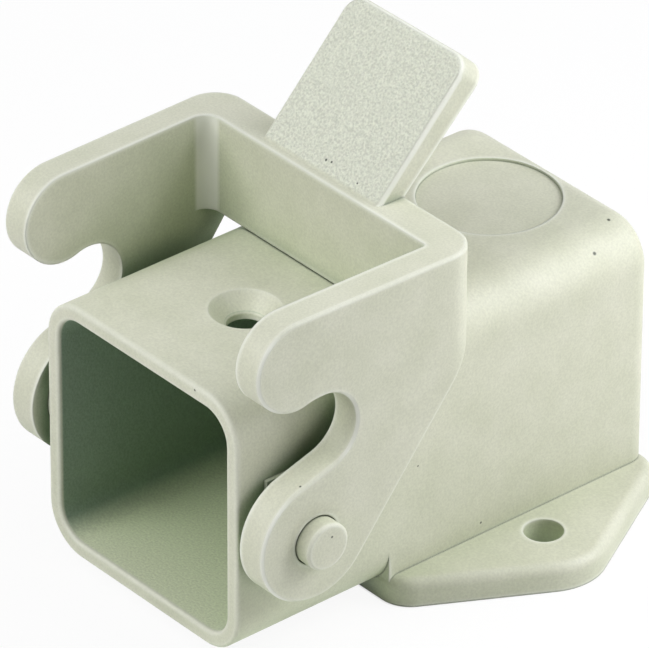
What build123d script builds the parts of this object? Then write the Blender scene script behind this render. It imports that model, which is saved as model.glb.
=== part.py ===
from build123d import *
import math
import os

# Angled housing of a small heavy duty rectangular connector, with its locking lever.
# Millimetres. The origin lies on the mounting face, midway between the two flange holes.
# +X is to the right, +Y to the back and +Z up. The mating mouth faces -Y.

# Square insert, the mouth that takes it, and the moulded tube around it
insert_side = 21.0
insert_clearance = 0.15
wall = 1.4
tube_radius = 4.0
tube_bottom = 1.0
tunnel_length = 16.1
rim_edge_radius = 0.3

# Rear block that stands on the flange
block_depth = 28.5
back_wall = 1.6
back_edge_radius = 1.8

# Flange with a wing and a hole on each side
flange_thickness = 2.5
flange_edge_radius = 0.9
flange_hole_spacing = 30.0
flange_hole_diameter = 3.4
wing_radius = 5.4
shoulder_offset = 11.4
shoulder_radius = 3.0
flange_lip = 0.1

# Cable entry through the flange, with the seal's groove around it
entry_width = 18.4
entry_depth = 22.8
entry_radius = 3.0
groove_margin = 0.6
groove_width = 1.6
groove_depth = 0.9
seal_clearance = 0.05

# Countersunk hole for the screw that holds the insert, in a pad below the top wall
screw_offset = 0.55
screw_setback = 10.5
screw_hole_diameter = 3.2
screw_head_diameter = 6.1
screw_head_angle = 90.0
screw_pad_diameter = 7.6
screw_pad_depth = 0.6

# Shallow round field on top of the block
field_diameter = 12.2
field_depth = 0.25
field_offset = 6.75

# Pivot pins, each with a collar on a raised pad
pivot_setback = 4.9
pad_width = 4.2
pad_height = 9.1
pad_rise = 0.4
collar_diameter = 8.0
collar_rise = 1.15
pin_diameter = 4.2
pin_proud = 1.5
pin_chamfer = 0.2

# Locking lever in its open position, measured from the pivot
arm_thickness = 2.75
arm_clearance = 0.15
arm_flare = 1.2
pin_clearance = 0.1
boss_radius = 5.6
pocket_radius = 3.55
pocket_offset = 0.6
pocket_height = 9.8
nose_offset = -1.9
bar_top = 21.15
bar_back = 17.0
bar_thickness = 3.6
heel_rise = 0.6
rest_gap = 0.12
lever_corner_radius = 3.0
left_inner_radius = 1.5
right_inner_radius = 0.3
lever_edge_chamfer = 0.2

# Thumb tab on the lever's bar
tab_width = 14.5
tab_offset = -0.4
tab_length = 14.05
tab_thickness = 2.5
tab_root_thickness = 2.1
tab_lean = 46.4
tab_corner_radius = 1.7
tab_edge_radius = 0.5
tab_root = 0.5

# Places that follow from the sizes above
mouth_side = insert_side + 2 * insert_clearance
tube_side = mouth_side + 2 * wall
mouth_radius = tube_radius - wall
tube_middle = tube_bottom + tube_side / 2
tube_top = tube_bottom + tube_side
block_back = block_depth / 2
rim_y = -block_back - tunnel_length
screw_y = rim_y + screw_setback
pivot_y = rim_y + pivot_setback
arm_inner = tube_side / 2 + collar_rise + arm_clearance
arm_outer = arm_inner + arm_thickness
pin_end = arm_outer + pin_proud
bar_bottom = tube_top + rest_gap - tube_middle
bar_front = bar_back - bar_thickness
heel_height = bar_bottom + heel_rise


def rounded_prism(plane, width, depth, radius, length, mode=Mode.ADD):
    """A prism of a rounded rectangle, centred on the plane and drawn out along its normal."""
    with BuildSketch(plane) as profile:
        RectangleRounded(width, depth, radius)
    extrude(profile.sketch, amount=length, mode=mode)


# Flange: two wings around the holes, joined to four rounded shoulders
with BuildPart() as flange:
    with BuildSketch():
        shoulder_y = block_back + flange_lip - shoulder_radius
        with GridLocations(flange_hole_spacing, 0, 2, 1):
            Circle(wing_radius)
        with GridLocations(2 * shoulder_offset, 2 * shoulder_y, 2, 2):
            Circle(shoulder_radius)
        make_hull()
    extrude(amount=flange_thickness)
    fillet(flange.faces().sort_by(Axis.Z)[-1].edges(), flange_edge_radius)

# Housing: square tube, rear block and flange as one hollow moulding
with BuildPart() as housing:
    rim_plane = Plane((0, rim_y, tube_middle), x_dir=(1, 0, 0), z_dir=(0, 1, 0))
    tube_length = tunnel_length + block_depth
    rounded_prism(rim_plane, tube_side, tube_side, tube_radius, tube_length)
    with BuildSketch():
        Rectangle(tube_side, block_depth)
    extrude(amount=tube_middle)
    back_edges = housing.faces().sort_by(Axis.Y)[-1].edges()
    fillet(back_edges.filter_by(lambda edge: edge.center().Z > tube_bottom), back_edge_radius)
    add(flange.part)

    # Passage from the mouth to the cable entry
    rounded_prism(rim_plane, mouth_side, mouth_side, mouth_radius, tube_length - back_wall,
                  Mode.SUBTRACT)
    rounded_prism(Plane.XY, entry_width, entry_depth, entry_radius, tube_middle, Mode.SUBTRACT)

    # Groove of the seal
    groove_inner_width = entry_width + 2 * groove_margin
    groove_inner_depth = entry_depth + 2 * groove_margin
    groove_inner_radius = entry_radius + groove_margin
    with BuildSketch():
        RectangleRounded(groove_inner_width + 2 * groove_width,
                         groove_inner_depth + 2 * groove_width,
                         groove_inner_radius + groove_width)
        RectangleRounded(groove_inner_width, groove_inner_depth, groove_inner_radius,
                         mode=Mode.SUBTRACT)
    extrude(amount=groove_depth, mode=Mode.SUBTRACT)

    # Flange holes, and the countersunk hole of the insert's screw in its pad
    with BuildSketch():
        with GridLocations(flange_hole_spacing, 0, 2, 1):
            Circle(flange_hole_diameter / 2)
    extrude(amount=flange_thickness, mode=Mode.SUBTRACT)
    with BuildSketch(Plane((screw_offset, screw_y, tube_top - wall))):
        Circle(screw_pad_diameter / 2)
    extrude(amount=-screw_pad_depth)
    with Locations(Plane((screw_offset, screw_y, tube_top))):
        CounterSinkHole(screw_hole_diameter / 2, screw_head_diameter / 2,
                        wall + 2 * screw_pad_depth, screw_head_angle)

    # Round field on top
    with BuildSketch(Plane((0, field_offset, tube_top))):
        Circle(field_diameter / 2)
    extrude(amount=-field_depth, mode=Mode.SUBTRACT)

    # Pads, collars and pivot pins on both side walls
    for side in (-1, 1):
        wall_plane = Plane((side * tube_side / 2, pivot_y, tube_middle),
                           x_dir=(0, side, 0), z_dir=(side, 0, 0))
        with BuildSketch(wall_plane):
            Rectangle(pad_width, pad_height)
        extrude(amount=pad_rise)
        with BuildSketch(wall_plane):
            Circle(collar_diameter / 2)
        extrude(amount=collar_rise)
        with BuildSketch(wall_plane):
            Circle(pin_diameter / 2)
        extrude(amount=pin_end - tube_side / 2)
    side_faces = housing.faces().filter_by(Axis.X).sort_by(Axis.X)
    chamfer(side_faces[0].edges() + side_faces[-1].edges(), pin_chamfer)

    # Softened rim of the mouth
    rim_edges = housing.faces().sort_by(Axis.Y)[0].edges()
    fillet(rim_edges, rim_edge_radius)
housing.part.label = "housing"


def along(angle, radius):
    """The point at this angle, in degrees, on a circle around the pivot."""
    return Vector(radius * math.cos(math.radians(angle)), radius * math.sin(math.radians(angle)))


def flared(half_width, front, back):
    """Corners of a shape, seen from above, that is this wide at the pivot and widens to the back."""
    spread = math.tan(math.radians(arm_flare))
    front_half = half_width + front * spread
    back_half = half_width + back * spread
    return (-front_half, front), (front_half, front), (back_half, back), (-back_half, back)


# Outline of the lever's arms. The nose touches the pocket and ends level with the bar's top.
nose_span = bar_top - pocket_height
nose_shift = nose_offset - pocket_offset
nose_radius = ((nose_shift ** 2 + nose_span ** 2 - pocket_radius ** 2)
               / (2 * (nose_span + pocket_radius)))
nose_height = bar_top - nose_radius
nose_end_angle = 360 + math.degrees(math.atan2(pocket_height - nose_height, -nose_shift))
pocket_start_angle = nose_end_angle - 180
pocket_distance = math.hypot(pocket_offset, pocket_height)
lip_turn = math.degrees(math.acos((pocket_radius + boss_radius) / pocket_distance))
boss_start_angle = math.degrees(math.atan2(pocket_height, pocket_offset)) + lip_turn
pocket_end_angle = boss_start_angle - 180
heel_distance = math.hypot(bar_back, heel_height)
heel_turn = math.degrees(math.acos(boss_radius / heel_distance))
boss_end_angle = 360 + math.degrees(math.atan2(heel_height, bar_back)) - heel_turn

# Lever: two hooked arms, the bar between them and the thumb tab, moulded as one bail
with BuildPart() as locking_lever:
    side_plane = Plane((-2 * arm_outer, pivot_y, tube_middle), x_dir=(0, 1, 0), z_dir=(1, 0, 0))
    with BuildSketch(side_plane):
        with BuildLine():
            nose = CenterArc((nose_offset, nose_height), nose_radius, 90, nose_end_angle - 90)
            pocket = CenterArc((pocket_offset, pocket_height), pocket_radius,
                               pocket_start_angle, pocket_end_angle - pocket_start_angle)
            boss = CenterArc((0, 0), boss_radius, boss_start_angle,
                             boss_end_angle - boss_start_angle)
            Line(pocket @ 1, boss @ 0)
            Polyline(boss @ 1, (bar_back, heel_height), (bar_back, bar_top), nose @ 0)
        make_face()
    extrude(amount=4 * arm_outer)

    # Outer sides that flare to the rounded back corners, with a chamfer all round
    floor_plane = Plane((0, pivot_y, tube_middle - 2 * boss_radius))
    lever_height = 2 * boss_radius + 2 * bar_top
    with BuildSketch(floor_plane) as plan:
        Polygon(*flared(arm_outer, -bar_back, bar_back), align=None)
        fillet(plan.vertices().group_by(Axis.Y)[-1], lever_corner_radius)
    extrude(amount=lever_height, mode=Mode.INTERSECT)
    right_face = locking_lever.faces().filter_by(GeomType.PLANE).sort_by(Axis.X)[-1]
    chamfer(right_face.edges().filter_by(Axis.Z, reverse=True), lever_edge_chamfer)

    # Room between the arms, in front of the bar and below it
    with BuildSketch(floor_plane) as room:
        Polygon(*flared(arm_inner, -bar_back, bar_front), align=None)
        for corner, radius in ((0, left_inner_radius), (-1, right_inner_radius)):
            fillet(room.vertices().group_by(Axis.Y)[-1].sort_by(Axis.X)[corner], radius)
    extrude(amount=lever_height, mode=Mode.SUBTRACT)
    with BuildSketch(floor_plane):
        Polygon(*flared(arm_inner, bar_front - left_inner_radius, 2 * bar_back), align=None)
    extrude(amount=2 * boss_radius + bar_bottom, mode=Mode.SUBTRACT)

    # Thumb tab, leaning back from the bar's top
    tab_foot = tab_root_thickness / math.sin(math.radians(tab_lean))
    tab_front = bar_back - tab_foot
    tip = along(tab_lean, tab_length)
    depth = along(tab_lean - 90, tab_thickness)
    tab_plane = Plane((tab_offset - tab_width / 2, pivot_y, tube_middle),
                      x_dir=(0, 1, 0), z_dir=(1, 0, 0))
    with BuildSketch(tab_plane):
        Polygon((tab_front + tab_root, bar_top - tab_root), (tab_front, bar_top),
                (tab_front + tip.X, bar_top + tip.Y),
                (tab_front + tip.X + depth.X, bar_top + tip.Y + depth.Y),
                (bar_back, bar_top), (bar_back, bar_top - tab_root), align=None)
    extrude(amount=tab_width)
    across = Axis((0, 0, 0), (0, depth.X, depth.Y))
    fillet(locking_lever.edges().filter_by(across).filter_by(
        lambda edge: edge.center().Z > tube_middle + bar_top + tip.Y / 2), tab_corner_radius)
    grip_outline = locking_lever.faces().filter_by(across).sort_by(Axis.Z)[-1].edges()
    fillet(grip_outline - grip_outline.group_by(Axis.Z)[0], tab_edge_radius)

    # Bores for the pivot pins
    with BuildSketch(side_plane):
        Circle(pin_diameter / 2 + pin_clearance)
    extrude(amount=4 * arm_outer, mode=Mode.SUBTRACT)
locking_lever.part.label = "locking_lever"

# Flat seal in the groove, level with the mounting face
with BuildPart() as flange_seal:
    with BuildSketch():
        RectangleRounded(groove_inner_width + 2 * (groove_width - seal_clearance),
                         groove_inner_depth + 2 * (groove_width - seal_clearance),
                         groove_inner_radius + groove_width - seal_clearance)
        RectangleRounded(groove_inner_width + 2 * seal_clearance,
                         groove_inner_depth + 2 * seal_clearance,
                         groove_inner_radius + seal_clearance, mode=Mode.SUBTRACT)
    extrude(amount=groove_depth)
flange_seal.part.label = "flange_seal"

os.makedirs("parts", exist_ok=True)
export_step(housing.part, "parts/housing.step")
export_step(locking_lever.part, "parts/locking_lever.step")
export_step(flange_seal.part, "parts/flange_seal.step")
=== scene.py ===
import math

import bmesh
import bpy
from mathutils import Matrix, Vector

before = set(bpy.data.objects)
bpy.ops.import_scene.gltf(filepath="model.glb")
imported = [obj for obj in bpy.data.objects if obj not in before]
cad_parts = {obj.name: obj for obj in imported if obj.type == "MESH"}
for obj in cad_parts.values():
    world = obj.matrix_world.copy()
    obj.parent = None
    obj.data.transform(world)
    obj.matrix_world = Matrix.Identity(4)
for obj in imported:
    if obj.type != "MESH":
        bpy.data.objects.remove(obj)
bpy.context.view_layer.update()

# %% [markdown]
# # A small rectangular connector housing with its locking lever
# The real object is a moulded housing, about 45 mm long, that bolts to a panel. A square contact
# insert sits in its mouth, and a lever with two hooked arms holds the mating hood on.
# The CAD model already has every shape, so this scene is about light and finish. It sets up the
# camera as in the photograph, plain soft boxes, and one procedural material for each real one:
# the moulded plastic, with the spark-eroded grip on the lever's tab, and the rubber seal.

MM = 0.001

# %% [markdown]
# ## Camera
# A product photograph of a thing this small is taken from far away with a long lens, so that
# parallel edges stay nearly parallel. The camera is placed by its position and by two turns:
# its azimuth and elevation, as a tripod head would be set, and a small roll.
# The focal length in pixels is the picture's width times the lens over the sensor's width.

# %% The camera
PICTURE_WIDTH = 649
SENSOR_WIDTH = 36.0
FOCAL_PIXELS = 8061.4
CAMERA_PLACE = Vector((423.547, -372.584, 370.230)) * MM
AZIMUTH, ELEVATION, ROLL = (math.radians(angle) for angle in (49.513, 32.181, 0.297))
NEAREST_SEEN = 50 * MM

right = Vector((math.cos(AZIMUTH), math.sin(AZIMUTH), 0))
back = Vector((math.sin(AZIMUTH) * math.cos(ELEVATION),
               -math.cos(AZIMUTH) * math.cos(ELEVATION), math.sin(ELEVATION)))
up = back.cross(right)
rolled_right = math.cos(ROLL) * right + math.sin(ROLL) * up
rolled_up = back.cross(rolled_right)

camera_data = bpy.data.cameras.new("camera")
camera_data.sensor_width = SENSOR_WIDTH
camera_data.lens = FOCAL_PIXELS * SENSOR_WIDTH / PICTURE_WIDTH
camera_data.clip_start = NEAREST_SEEN
camera = bpy.data.objects.new("camera", camera_data)
bpy.context.collection.objects.link(camera)
turn = Matrix((rolled_right, rolled_up, back)).transposed().to_4x4()
camera.matrix_world = Matrix.Translation(CAMERA_PLACE) @ turn
bpy.context.scene.camera = camera
print("camera lens in mm:", round(camera_data.lens, 1))

# %% [markdown]
# ## Colours and nodes
# Colours are written as sRGB hex values, as a paint chart would give them, and turned to the
# linear values that Blender computes with. One small function adds any node with its settings
# and links, so that each material reads as a list of what feeds what.

# %% Helpers for colours and nodes
def linear(hex_colour):
    """The linear RGBA values of an sRGB hex colour."""
    values = [int(hex_colour[place:place + 2], 16) / 255 for place in (1, 3, 5)]
    return [value / 12.92 if value <= 0.04045 else ((value + 0.055) / 1.055) ** 2.4
            for value in values] + [1.0]


def add_node(tree, kind, settings=None, **inputs):
    """Adds a node, sets its settings, and fills or links its inputs by name or number."""
    node = tree.nodes.new(kind)
    for name, value in (settings or {}).items():
        setattr(node, name, value)
    for name, value in inputs.items():
        key = int(name[1:]) if name[0] == "i" and name[1:].isdigit() else name.replace("_", " ")
        if isinstance(value, bpy.types.NodeSocket):
            tree.links.new(value, node.inputs[key])
        else:
            node.inputs[key].default_value = linear(value) if isinstance(value, str) else value
    return node


def new_tree(owner):
    """The empty node tree of a material or a world."""
    owner.use_nodes = True
    owner.node_tree.nodes.clear()
    return owner.node_tree


print("half of white in sRGB is linear", round(linear("#808080")[0], 3))

# %% [markdown]
# ## Masks
# A mask is a number from 0 to 1 at each point of a surface, and says how much of a change
# applies there. It comes from measures, such as a distance or a height. A ramp turns each of
# them to 0 at its start and 1 where it is whole, and the ramps are multiplied, so that the mask
# is whole only where all of them are. A ramp's start may be the higher of its two values.

# %% Helpers for masks
def joined(tree, operation, values):
    """One value from several, taken one after the other by this operation of the Math node."""
    result, *others = values
    for value in others:
        result = add_node(tree, "ShaderNodeMath", {"operation": operation}, i0=result,
                          i1=value).outputs[0]
    return result


def mask_where(tree, *ramps):
    """1 where every ramp is whole; each ramp has a measure, its start and where it is whole."""
    masks = [add_node(tree, "ShaderNodeMapRange", Value=measure, From_Min=start,
                      From_Max=whole).outputs[0] for measure, start, whole in ramps]
    return joined(tree, "MULTIPLY", masks)


# %% [markdown]
# ## Floor and surroundings
# The photograph is cut out on pure white. The floor is a sheet of white paper, and what the
# camera sees of it is mostly plain white, with a share of real paper left so that the object
# keeps its shadow. Mirrored and let-through rays see the same white, as in a white studio, and
# the world adds no light of its own.

# %% Floor
FLOOR_WIDTH = 1.2
floor_mesh = bpy.data.meshes.new("floor")
floor_form = bmesh.new()
bmesh.ops.create_grid(floor_form, x_segments=1, y_segments=1, size=FLOOR_WIDTH / 2)
floor_form.to_mesh(floor_mesh)
floor_form.free()
floor = bpy.data.objects.new("floor", floor_mesh)
bpy.context.collection.objects.link(floor)
print("floor width in mm:", round(FLOOR_WIDTH / MM))

# %% World, white to the camera
WHITE = "#ffffff"


def seen_directly(tree):
    """A factor of 1 for rays from the camera, and for those mirrored or let through."""
    rays = add_node(tree, "ShaderNodeLightPath").outputs
    kinds = ("Is Camera Ray", "Is Glossy Ray", "Is Transmission Ray")
    return joined(tree, "MAXIMUM", [rays[kind] for kind in kinds])


world = bpy.data.worlds.new("white_studio")
bpy.context.scene.world = world
tree = new_tree(world)
unlit = add_node(tree, "ShaderNodeBackground", Color=WHITE, Strength=0.0)
white = add_node(tree, "ShaderNodeBackground", Color=WHITE, Strength=1.0)
choice = add_node(tree, "ShaderNodeMixShader", i0=seen_directly(tree), i1=unlit.outputs[0],
                  i2=white.outputs[0])
add_node(tree, "ShaderNodeOutputWorld", Surface=choice.outputs[0])
print(world.name, "has", len(tree.nodes), "nodes")

# %% [markdown]
# The paper isn't plain white everywhere. It stays real paper where it is seen through the cable
# entry of the housing, which is dark, and in a thin line where the object touches it. That line
# comes from an Ambient Occlusion node, which sends out short rays and tells what share of them
# meets nothing, and so how much of the sky is open over a point.

# %% Masks for the paper
# The third of these sizes is a height, which isn't used.
ENTRY_HALF_SIZE = Vector((9.2, 11.4, 1.0)) * MM
OUTSIDE_START, OUTSIDE_WHOLE = 0.99, 1.01
RAY_SAMPLES = 8


def outside_cable_entry(tree):
    """0 on the paper inside the cable entry of the housing and 1 elsewhere."""
    place = add_node(tree, "ShaderNodeTexCoord").outputs["Object"]
    size = add_node(tree, "ShaderNodeVectorMath", {"operation": "ABSOLUTE"}, i0=place)
    shares = add_node(tree, "ShaderNodeVectorMath", {"operation": "DIVIDE"}, i0=size.outputs[0],
                      i1=ENTRY_HALF_SIZE)
    parts = add_node(tree, "ShaderNodeSeparateXYZ", Vector=shares.outputs[0]).outputs
    widest = joined(tree, "MAXIMUM", (parts["X"], parts["Y"]))
    return mask_where(tree, (widest, OUTSIDE_START, OUTSIDE_WHOLE))


def sky_mask(tree, reach, start, whole, inside=False):
    """A ramp over the share of the sky that is open within this reach, out of or into a piece."""
    occlusion = add_node(tree, "ShaderNodeAmbientOcclusion",
                         {"samples": RAY_SAMPLES, "inside": inside, "only_local": inside},
                         Distance=reach)
    return mask_where(tree, (occlusion.outputs["AO"], start, whole))


# %% Paper
PAPER_COLOUR = "#f4f4f2"
PLAIN_WHITE_SHARE = 0.92
CONTACT_REACH = 0.25 * MM
CLEAR_START, CLEAR_WHOLE = 0.3, 0.9
paper = bpy.data.materials.new("matt_white_paper")
tree = new_tree(paper)
matt = add_node(tree, "ShaderNodeBsdfDiffuse", Color=PAPER_COLOUR)
plain = add_node(tree, "ShaderNodeEmission", Color=WHITE, Strength=1.0)
clear = sky_mask(tree, CONTACT_REACH, CLEAR_START, CLEAR_WHOLE)
share = joined(tree, "MULTIPLY",
               (seen_directly(tree), PLAIN_WHITE_SHARE, outside_cable_entry(tree), clear))
mixed = add_node(tree, "ShaderNodeMixShader", i0=share, i1=matt.outputs[0], i2=plain.outputs[0])
add_node(tree, "ShaderNodeOutputMaterial", Surface=mixed.outputs[0])
floor_mesh.materials.append(paper)
print(paper.name, "is plain white to the camera by", PLAIN_WHITE_SHARE)

# %% [markdown]
# ## Soft boxes
# A small object needs lamps that are large for it and close by, because a lamp that looks wide
# from the object gives soft shadows. Those in front shine into the mouth from a little left,
# those at the back right stand near, so that the block and the flange are brighter than the
# arms, and one hangs overhead. The high ones are slightly cooler, as daylight from above is.
# Together they light the plastic at a plain level, so that its colour renders about as it is
# written.

# %% A soft box
LIT_MIDDLE = Vector((0, -8, 18)) * MM


def add_soft_box(name, azimuth, elevation, watts, size, distance, colour):
    """A square area lamp that looks at the object's middle from this direction."""
    turned, raised = math.radians(azimuth), math.radians(elevation)
    towards = Vector((math.sin(turned) * math.cos(raised),
                      -math.cos(turned) * math.cos(raised), math.sin(raised)))
    data = bpy.data.lights.new(name, "AREA")
    data.shape = "SQUARE"
    data.size = size
    data.energy = watts
    data.color = linear(colour)[:3]
    lamp = bpy.data.objects.new(name, data)
    bpy.context.collection.objects.link(lamp)
    lamp.location = LIT_MIDDLE + towards * distance
    lamp.rotation_euler = towards.to_track_quat("Z", "Y").to_euler()
    return lamp


# %% The soft boxes: azimuth, elevation, watts, width, distance and colour
COOL_WHITE = "#f6f7ff"
SOFT_BOXES = {
    "front_left": (335, 30, 0.67, 0.20, 0.60, WHITE),
    "front_left_wide": (330, 35, 0.52, 0.45, 0.60, WHITE),
    "front": (355, 40, 0.76, 0.20, 0.60, WHITE),
    "front_low": (350, 22, 0.27, 0.20, 0.60, WHITE),
    "front_high": (345, 50, 0.53, 0.45, 0.60, COOL_WHITE),
    "overhead": (0, 85, 1.20, 0.45, 0.60, COOL_WHITE),
    "right": (120, 25, 0.088, 0.14, 0.22, WHITE),
    "back_right": (140, 42, 0.236, 0.14, 0.22, COOL_WHITE),
    "back": (140, 25, 0.042, 0.08, 0.10, WHITE),
}
for name, settings in SOFT_BOXES.items():
    lamp = add_soft_box(name, *settings)
    print(name, "stands at", [round(value, 2) for value in lamp.location], "in metres")

# %% [markdown]
# ## Moulded plastic
# The housing and the lever are glass-filled polyamide, injection moulded in a matt tool, in a
# pale pebble grey with a hint of green. Close up the colour is slightly cloudy, because the
# glass fibres lie in other directions where the melt flowed round a corner, and it has a fine
# grain. The colour is built up in layers, as paint would be. Each layer has a mask, a colour
# and a way of mixing: MIX covers what lies under it, and MULTIPLY tints it.

# %% Colours, clouds and grain, with the size and detail of each pattern
PLASTIC_COLOUR = "#cacbb7"
CLOUD_COLOUR = "#c2c4ae"
CLOUD_PATTERN = (4.0 * MM, 4.0)
CLOUD_START, CLOUD_WHOLE = 0.35, 0.7
GRAIN_PATTERN = (0.2 * MM, 2.0)
GRAIN_CONTRAST = 0.07
# A noise pattern goes from 0 to 1, but mostly stays between these two.
NOISE_LOW, NOISE_HIGH = 0.3, 0.7


def painted(tree, colour, *layers):
    """The colour under its layers, each with a mask, a colour and a way of mixing."""
    for layer_mask, layer_colour, blend in layers:
        colour = add_node(tree, "ShaderNodeMix", {"data_type": "RGBA", "blend_type": blend},
                          i0=layer_mask, i6=colour, i7=layer_colour).outputs[2]
    return colour


def speckled(tree, colour, pattern, contrast):
    """The colour made lighter and darker by this share where the pattern goes up and down."""
    swing = add_node(tree, "ShaderNodeMapRange", Value=pattern, From_Min=NOISE_LOW,
                     From_Max=NOISE_HIGH, To_Min=1 - contrast, To_Max=1 + contrast)
    return painted(tree, colour, (1.0, swing.outputs[0], "MULTIPLY"))


print("clouds are", CLOUD_PATTERN[0] / MM, "mm wide and the grain", GRAIN_PATTERN[0] / MM, "mm")

# %% [markdown]
# ## Edges, gaps, slots and creases
# A moulded edge has a radius of a few tenths of a millimetre, and it looks lighter than the
# faces beside it, as some part of it always mirrors a lamp; its lighter colour here is a
# painted highlight. The Bevel node gives the radius. An Ambient Occlusion node that looks
# inwards finds the edges: under an edge its rays soon come out again. Looking outwards it finds
# three things, each with a reach of its own, and each gets painted shade. Gaps are wide: light
# comes there only after some bounces from the same plastic, and is greener, so their painted
# shade is greener. Slots are narrow and get a darker painted shade, such as the one between an
# arm and the tunnel. Creases are where two faces meet, and get a dark painted shade.

# %% Where edges, gaps, slots and creases are
# The edge colour is a painted highlight, and the gap, slot and crease colours are painted shade.
EDGE_HIGHLIGHT_COLOUR = "#dddfd1"
EDGE_RADIUS = 0.25 * MM
EDGE_DEPTH = 0.5 * MM
EDGE_START, EDGE_WHOLE = 0.95, 0.65
GAP_SHADE = "#eef9e7"
GAP_REACH = 30.0 * MM
GAP_START, GAP_WHOLE = 0.6, 0.15
SLOT_SHADE = "#9aaea4"
SLOT_REACH = 3.0 * MM
CREASE_SHADE_COLOUR = "#6f7763"
CREASE_REACH = 0.35 * MM
CREASE_START, CREASE_WHOLE = 0.75, 0.45


def form_masks(tree, slot_start, slot_whole):
    """Masks of painted shade in gaps, slots and creases, and of painted highlight on open edges.
    """
    gap = sky_mask(tree, GAP_REACH, GAP_START, GAP_WHOLE)
    slot = sky_mask(tree, SLOT_REACH, slot_start, slot_whole)
    edge = sky_mask(tree, EDGE_DEPTH, EDGE_START, EDGE_WHOLE, inside=True)
    in_the_open = joined(tree, "SUBTRACT", (1.0, gap))
    crease = sky_mask(tree, CREASE_REACH, CREASE_START, CREASE_WHOLE)
    return gap, slot, joined(tree, "MULTIPLY", (edge, in_the_open)), crease


print("edges have a radius of", EDGE_RADIUS / MM, "mm")

# %% [markdown]
# ## Dust
# A few dark specks of dust lie on the real part, each a quarter to half a millimetre wide.
# Their places are points in millimetres, and each speck is the distance from such a point,
# turned to a soft dot. A random pattern would need no list, but would also put dots on edges.

# %% Specks of dust, with their places and radii in millimetres
DUST_COLOUR = "#3c4234"
HOUSING_SPECKS = (((9.0, 11.93, 24.98), 0.21), ((10.9, 8.7, 23.91), 0.23),
                  ((12.05, -4.29, 3.61), 0.15), ((6.83, -30.35, 24.69), 0.15),
                  ((17.6, -25.12, 13.94), 0.15), ((12.05, -11.24, 12.09), 0.12))
LEVER_SPECKS = (((-0.44, -10.55, 35.04), 0.16), ((0.18, -10.49, 35.1), 0.14),
                ((15.66, -26.82, 18.49), 0.14), ((3.68, -10.76, 34.82), 0.11))


def dust_mask(tree, place, specks):
    """1 on the specks of dust and 0 elsewhere."""
    dots = []
    for point, radius in specks:
        distance = add_node(tree, "ShaderNodeVectorMath", {"operation": "DISTANCE"}, i0=place,
                            i1=Vector(point) * MM)
        dot = add_node(tree, "ShaderNodeMapRange", {"interpolation_type": "SMOOTHSTEP"},
                       Value=distance.outputs["Value"], From_Min=radius * MM,
                       From_Max=radius * MM / 3)
        dots.append(dot.outputs[0])
    return joined(tree, "MAXIMUM", dots)


print(len(HOUSING_SPECKS), "specks on the housing and", len(LEVER_SPECKS), "on the lever")

# %% [markdown]
# ## The thumb tab's grip
# The tool was spark-eroded where it forms the front of the thumb tab, so that face has fine
# pits that a fingertip holds on to. The pits end at the face's rounded border. That border is
# smooth, and it and the lever's chamfers that face the front right get a lighter colour, which
# is a painted highlight.
# The grip is flat, so the distance from its plane tells the face from its border.

# %% Where the grip is, and the painted highlights on its border and on the chamfers
GRIP_SLOPE = math.radians(46.4)
GRIP_FOOT = Vector((0, -11.35, 34.2)) * MM
GRIP_NORMAL = Vector((0, -math.sin(GRIP_SLOPE), math.cos(GRIP_SLOPE)))
FOOT_START, FOOT_WHOLE = GRIP_FOOT.z + 0.05 * MM, GRIP_FOOT.z + 0.25 * MM
GRIP_START, GRIP_WHOLE = 0.1 * MM, 0.03 * MM
BORDER_START, BORDER_WHOLE = 0.35 * MM, 0.15 * MM
FRONT_RIGHT = Vector((1, -1, 0)).normalized()
CHAMFER_START, CHAMFER_WHOLE = 0.72, 0.85


def grip_measures(tree, place):
    """The height of a point, and its distance from the plane of the tab's front face."""
    level = add_node(tree, "ShaderNodeSeparateXYZ", Vector=place).outputs["Z"]
    along = add_node(tree, "ShaderNodeVectorMath", {"operation": "DOT_PRODUCT"}, i0=place,
                     i1=GRIP_NORMAL)
    apart = joined(tree, "SUBTRACT", (along.outputs["Value"], GRIP_FOOT.dot(GRIP_NORMAL)))
    distance = add_node(tree, "ShaderNodeMath", {"operation": "ABSOLUTE"}, i0=apart)
    return level, distance.outputs[0]


def grip_mask(tree, place):
    """1 on the tab's front face and 0 elsewhere."""
    level, distance = grip_measures(tree, place)
    return mask_where(tree, (level, FOOT_START, FOOT_WHOLE), (distance, GRIP_START, GRIP_WHOLE))


def tab_border_and_chamfer_highlight_mask(tree, place):
    """1 on the tab's front border and on the chamfers at the front right, where a highlight is
    painted.
    """
    level, distance = grip_measures(tree, place)
    border = mask_where(tree, (level, FOOT_START, FOOT_WHOLE), (distance, GRIP_WHOLE, GRIP_START),
                        (distance, BORDER_START, BORDER_WHOLE))
    normal = add_node(tree, "ShaderNodeTexCoord").outputs["Normal"]
    facing = add_node(tree, "ShaderNodeVectorMath", {"operation": "DOT_PRODUCT"}, i0=normal,
                      i1=FRONT_RIGHT).outputs["Value"]
    chamfer = mask_where(tree, (facing, CHAMFER_START, CHAMFER_WHOLE))
    return joined(tree, "MAXIMUM", (border, chamfer))


print("the grip slopes up at", round(math.degrees(GRIP_SLOPE), 1), "degrees")

# %% [markdown]
# ## The room for the insert
# The walls of the room for the insert get pits and a darker, greener colour, which is painted
# shade, and its floor, which faces up, a lighter colour, which is painted light. The room is a
# square prism from just behind the rim to the back wall. The hole of the insert's screw, which
# comes through its ceiling, isn't part of it.

# %% Where the room is
ROOM_MIDDLE = Vector((0, 0, 13.05)) * MM
WALL_START, WALL_WHOLE = 10.77 * MM, 10.75 * MM
RIM_START, RIM_WHOLE = -30.05 * MM, -29.9 * MM
BACK_START, BACK_WHOLE = 13.0 * MM, 12.9 * MM
SCREW_HOLE = Vector((0.55, -19.85, 23.4)) * MM
SCREW_START, SCREW_WHOLE = 1.7 * MM, 1.8 * MM


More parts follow.
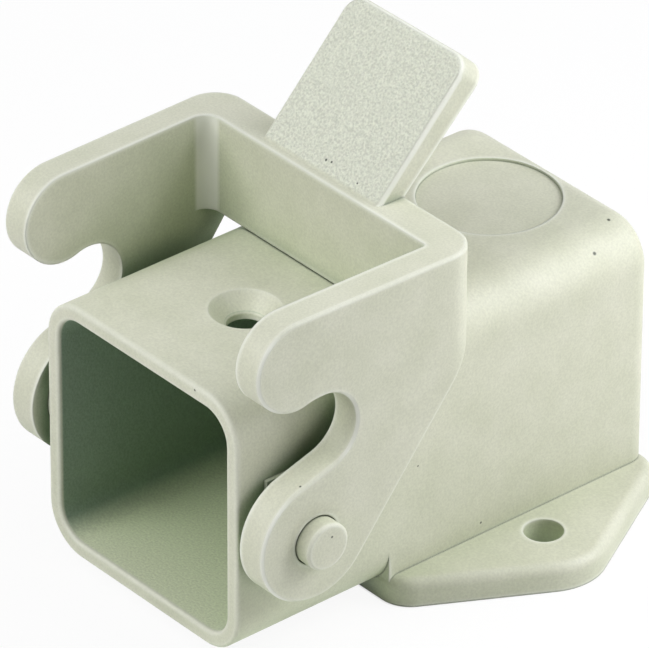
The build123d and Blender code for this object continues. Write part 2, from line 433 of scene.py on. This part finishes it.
def room_shade_mask(tree, place):
    """1 on the walls of the room for the insert, where shade and light are painted, and 0
    elsewhere.
    """
    from_middle = add_node(tree, "ShaderNodeVectorMath", {"operation": "SUBTRACT"}, i0=place,
                           i1=ROOM_MIDDLE)
    size = add_node(tree, "ShaderNodeVectorMath", {"operation": "ABSOLUTE"},
                    i0=from_middle.outputs[0])
    sizes = add_node(tree, "ShaderNodeSeparateXYZ", Vector=size.outputs[0]).outputs
    widest = joined(tree, "MAXIMUM", (sizes["X"], sizes["Z"]))
    depth = add_node(tree, "ShaderNodeSeparateXYZ", Vector=place).outputs["Y"]
    from_screw = add_node(tree, "ShaderNodeVectorMath", {"operation": "DISTANCE"}, i0=place,
                          i1=SCREW_HOLE).outputs["Value"]
    return mask_where(tree, (widest, WALL_START, WALL_WHOLE), (depth, RIM_START, RIM_WHOLE),
                      (depth, BACK_START, BACK_WHOLE), (from_screw, SCREW_START, SCREW_WHOLE))


def no_mask(tree, place):
    """0 everywhere."""
    return 0.0


print("the room is", round((BACK_START - RIM_START) / MM, 2), "mm deep")

# %% [markdown]
# ## The plastic itself
# One function makes the plastic of both pieces. Each piece has its own dust, a rough place with
# one colour on its walls and another on what faces up (on the housing, painted shade and painted
# light), the depth and contrast of the pits in that place, its painted highlight on smooth edges,
# and the share of open sky at which a slot's painted shade starts and is whole.
# The clouds also vary the roughness a little, and the grain and the pits are a bump as well.

# %% One material of moulded plastic
PIT_PATTERN = (0.2 * MM, 1.0)
UP_START, UP_WHOLE = 0.5, 1.0
# This lighter colour is a painted highlight on the tab's border and the front-right chamfers.
PAINTED_HIGHLIGHT_COLOUR = "#e4e6d9"
LEAST_ROUGH, MOST_ROUGH, PITTED_ROUGH = 0.42, 0.55, 0.75
GRAIN_STRENGTH, GRAIN_DEPTH = 0.2, 0.02 * MM
PLASTIC_IOR = 1.5


def moulded_plastic(name, specks, rough_or_shade_mask, wall_colour, floor_colour, pit_contrast, pit_depth,
                    highlight_mask, slot_start, slot_whole):
    """The plastic with clouds, grain, a rough place, painted shade and highlights, and dust."""
    material = bpy.data.materials.new(name)
    tree = new_tree(material)
    coordinates = add_node(tree, "ShaderNodeTexCoord").outputs
    place = coordinates["Object"]
    cloud, grain, pits = (
        add_node(tree, "ShaderNodeTexNoise", Vector=place, Scale=1 / size,
                 Detail=detail).outputs[0]
        for size, detail in (CLOUD_PATTERN, GRAIN_PATTERN, PIT_PATTERN))
    clouded = mask_where(tree, (cloud, CLOUD_START, CLOUD_WHOLE))
    rough = rough_or_shade_mask(tree, place)
    upward = add_node(tree, "ShaderNodeSeparateXYZ", Vector=coordinates["Normal"]).outputs["Z"]
    facing_up = mask_where(tree, (upward, UP_START, UP_WHOLE))
    gap, slot, edge, crease = form_masks(tree, slot_start, slot_whole)

    # On the housing, these two colours are painted shade on the room's walls and painted light on
    # its floor.
    rough_or_shade_colour = painted(tree, wall_colour, (facing_up, floor_colour, "MIX"))
    rough_or_shade_colour = speckled(tree, rough_or_shade_colour, pits, pit_contrast)
    colour = painted(tree, PLASTIC_COLOUR, (clouded, CLOUD_COLOUR, "MIX"))
    colour = speckled(tree, colour, grain, GRAIN_CONTRAST)
    # Over these go painted shade in gaps, slots and creases, painted highlights, and the dust.
    colour = painted(tree, colour,
                     (rough, rough_or_shade_colour, "MIX"),
                     (gap, GAP_SHADE, "MULTIPLY"),
                     (slot, SLOT_SHADE, "MULTIPLY"),
                     (edge, EDGE_HIGHLIGHT_COLOUR, "MIX"),
                     (highlight_mask(tree, place), PAINTED_HIGHLIGHT_COLOUR, "MIX"),
                     (crease, CREASE_SHADE_COLOUR, "MIX"),
                     (dust_mask(tree, place, specks), DUST_COLOUR, "MIX"))

    roughness = add_node(tree, "ShaderNodeMapRange", Value=cloud, To_Min=LEAST_ROUGH,
                         To_Max=MOST_ROUGH)
    roughness = add_node(tree, "ShaderNodeMix", i0=rough, i2=roughness.outputs[0],
                         i3=PITTED_ROUGH)
    rounded = add_node(tree, "ShaderNodeBevel", {"samples": RAY_SAMPLES}, Radius=EDGE_RADIUS)
    grainy = add_node(tree, "ShaderNodeBump", Strength=GRAIN_STRENGTH, Distance=GRAIN_DEPTH,
                      Height=grain, Normal=rounded.outputs[0])
    pitted = add_node(tree, "ShaderNodeBump", Strength=1.0, Distance=pit_depth,
                      Height=joined(tree, "MULTIPLY", (pits, rough)), Normal=grainy.outputs[0])
    shader = add_node(tree, "ShaderNodeBsdfPrincipled", Base_Color=colour,
                      Roughness=roughness.outputs[0], IOR=PLASTIC_IOR, Normal=pitted.outputs[0])
    add_node(tree, "ShaderNodeOutputMaterial", Surface=shader.outputs[0])
    print(name, "has", len(tree.nodes), "nodes")
    return material


# %% The plastic of the housing and of the lever
# The housing's wall colour is painted shade in the room for the insert, and its floor colour is
# painted light there; the lever's two colours are those of its grip.
housing_plastic = moulded_plastic(
    "pebble_grey_glass_filled_polyamide", HOUSING_SPECKS, rough_or_shade_mask=room_shade_mask,
    wall_colour="#8b9d88", floor_colour="#cfd5b6", pit_contrast=0.1, pit_depth=0.02 * MM,
    highlight_mask=no_mask, slot_start=0.4, slot_whole=0.05)
lever_plastic = moulded_plastic(
    "polyamide_with_spark_eroded_grip", LEVER_SPECKS, rough_or_shade_mask=grip_mask,
    wall_colour="#d1d4c3", floor_colour="#d1d4c3", pit_contrast=0.15, pit_depth=0.15 * MM,
    highlight_mask=tab_border_and_chamfer_highlight_mask, slot_start=0.7, slot_whole=0.3)

# %% [markdown]
# ## Rubber
# The flat seal under the flange is black nitrile rubber, pressed in a mould. It is matt and
# slightly blotchy, where waxes have bloomed to the surface.

# %% Rubber
RUBBER_COLOUR = "#171817"
BLOOM_COLOUR = "#262725"
BLOOM_SIZE, BLOOM_DETAIL = 1.5 * MM, 4.0
BLOOM_STRENGTH, BLOOM_DEPTH = 0.2, 0.02 * MM
RUBBER_LEAST_ROUGH, RUBBER_MOST_ROUGH = 0.6, 0.8
RUBBER_IOR = 1.5
rubber = bpy.data.materials.new("black_nitrile_rubber")
tree = new_tree(rubber)
place = add_node(tree, "ShaderNodeTexCoord").outputs["Object"]
bloom = add_node(tree, "ShaderNodeTexNoise", Vector=place, Scale=1 / BLOOM_SIZE,
                 Detail=BLOOM_DETAIL).outputs[0]
colour = painted(tree, RUBBER_COLOUR, (bloom, BLOOM_COLOUR, "MIX"))
roughness = add_node(tree, "ShaderNodeMapRange", Value=bloom, To_Min=RUBBER_LEAST_ROUGH,
                     To_Max=RUBBER_MOST_ROUGH)
bump = add_node(tree, "ShaderNodeBump", Strength=BLOOM_STRENGTH, Distance=BLOOM_DEPTH,
                Height=bloom)
shader = add_node(tree, "ShaderNodeBsdfPrincipled", Base_Color=colour,
                  Roughness=roughness.outputs[0], IOR=RUBBER_IOR, Normal=bump.outputs[0])
add_node(tree, "ShaderNodeOutputMaterial", Surface=shader.outputs[0])
print(rubber.name, "has", len(tree.nodes), "nodes")

# %% Give each CAD piece its material
for node, material in (("housing", housing_plastic), ("locking_lever", lever_plastic),
                       ("flange_seal", rubber)):
    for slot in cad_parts[node].material_slots:
        slot.material = material
    print(node, "has", material.name)

# %% [markdown]
# ## View
# The Standard view shows each colour as it is computed.

# %% View
bpy.context.scene.view_settings.view_transform = "Standard"
